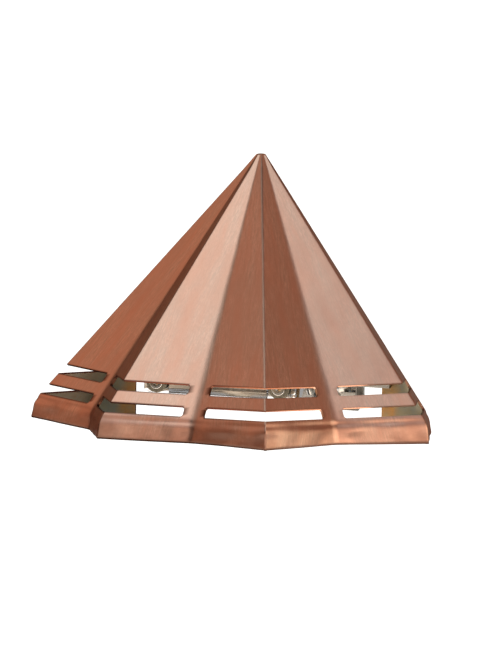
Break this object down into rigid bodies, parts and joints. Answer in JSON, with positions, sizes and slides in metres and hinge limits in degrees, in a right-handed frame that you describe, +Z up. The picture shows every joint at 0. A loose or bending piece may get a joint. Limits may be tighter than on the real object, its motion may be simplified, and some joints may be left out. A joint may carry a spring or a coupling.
{
  "type": "half-pyramid fence post light",
  "caption": "Side-mounted low-voltage light for a fence post: a folded copper half-pyramid hood with two rows of slots, over a lamp bracket with a replaceable lamp.",
  "frame": {"origin": "on the face that lies against the post, midway between the back plate's two slots for the post screws", "axes": "+Z up, +Y into the post, -Y out from the post, +X to the right for someone facing the light"},
  "size_m": [0.1386, 0.0693, 0.0888],
  "materials": {
    "brushed_copper": "vertically brushed copper, clear lacquered",
    "plate_steel": "plain stainless sheet",
    "polished_steel": "polished stainless strip",
    "mirror_aluminium": "bright aluminium",
    "yellow_brass": "plain brass",
    "eyelet_metal": "nickel-plated eyelet",
    "grey_fibre": "vulcanised fibre",
    "spring_bronze": "phosphor bronze strip",
    "tinned_brass": "tinned",
    "black_insulation": "soft insulation",
    "blue_insulation": "soft insulation",
    "black_rubber": "moulded rubber",
    "clear_glass": "clear glass",
    "lamp_cap_metal": "nickel-plated cap",
    "tungsten": "wound wire"
  },
  "bodies": {
    "bracket": {"back_plate": "plate_steel", "lamp_bracket": "polished_steel", "bracket_rivet_1": "plate_steel", "bracket_rivet_2": "plate_steel", "bracket_rivet_3": "plate_steel", "bracket_rivet_4": "plate_steel", "reflector": "mirror_aluminium", "reflector_rivet_left": "plate_steel", "reflector_rivet_right": "plate_steel", "eyelet_left": "eyelet_metal", "eyelet_right": "eyelet_metal", "front_washer_left": "grey_fibre", "front_washer_right": "grey_fibre", "rear_washer_left": "grey_fibre", "rear_washer_right": "grey_fibre", "lamp_clip_left": "spring_bronze", "lamp_clip_right": "spring_bronze", "terminal_left": "tinned_brass", "terminal_right": "tinned_brass", "lead_left": "black_insulation", "lead_right": "blue_insulation", "lead_grommet": "black_rubber", "retaining_washer": "plate_steel"},
    "shade": {"copper_shade": "brushed_copper", "hanger_strap": "yellow_brass", "hanger_nut": "yellow_brass"},
    "lamp": {"lamp_glass": "clear_glass", "lamp_cap_left": "lamp_cap_metal", "lamp_cap_right": "lamp_cap_metal", "lamp_filament": "tungsten"},
    "screw": {"retaining_screw": "yellow_brass"}
  },
  "joints": [
    {"name": "shade_lift", "type": "slide", "parent": "bracket", "child": "shade", "axis": [0, 0, 1], "range_m": [0, 0.06]},
    {"name": "lamp_pull", "type": "slide", "parent": "bracket", "child": "lamp", "axis": [0, 0, -1], "range_m": [0, 0.04]},
    {"name": "screw_turn", "type": "hinge", "parent": "bracket", "child": "screw", "pos_m": [0, -0.007, 0.0215], "axis": [0, 0, -1], "range_deg": [0, 1800]}
  ]
}
